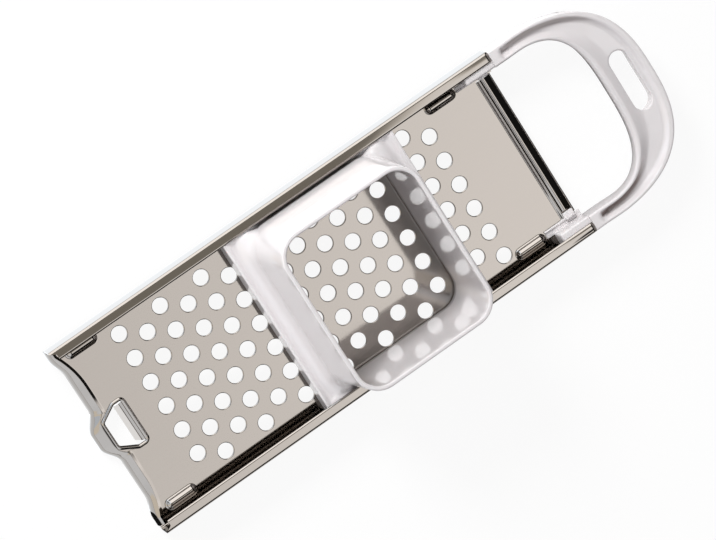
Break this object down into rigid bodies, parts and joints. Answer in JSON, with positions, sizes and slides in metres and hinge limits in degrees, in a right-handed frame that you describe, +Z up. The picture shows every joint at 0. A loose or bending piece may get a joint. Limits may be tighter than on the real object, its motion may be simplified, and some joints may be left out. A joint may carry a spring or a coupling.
{
  "type": "spaetzle maker",
  "caption": "Perforated steel tray with folded side rails, a sliding plastic hopper and a plastic bow handle with a hanging slot, for pressing soft dough into a pot.",
  "frame": {"origin": "on the underside of the perforated tray, on its middle line and at the middle of the hole pattern", "axes": "+X along the tray from the pot hook to the handle, +Y across the tray towards the left rail, +Z up out of the hopper's mouth"},
  "size_m": [0.3502, 0.1126, 0.076],
  "materials": {
    "steel_sheet": "satin stainless sheet",
    "white_plastic": "glossy white moulded plastic"
  },
  "bodies": {
    "tray": {"perforated_panel": "steel_sheet", "left_rail": "steel_sheet", "right_rail": "steel_sheet", "front_roll": "steel_sheet", "hook_tongue": "steel_sheet", "rolled_end": "steel_sheet", "handle": "white_plastic"},
    "carriage": {"hopper": "white_plastic"}
  },
  "joints": [
    {"name": "hopper_slide", "type": "slide", "parent": "tray", "child": "carriage", "axis": [1, 0, 0], "range_m": [-0.0775, 0.0225]}
  ]
}
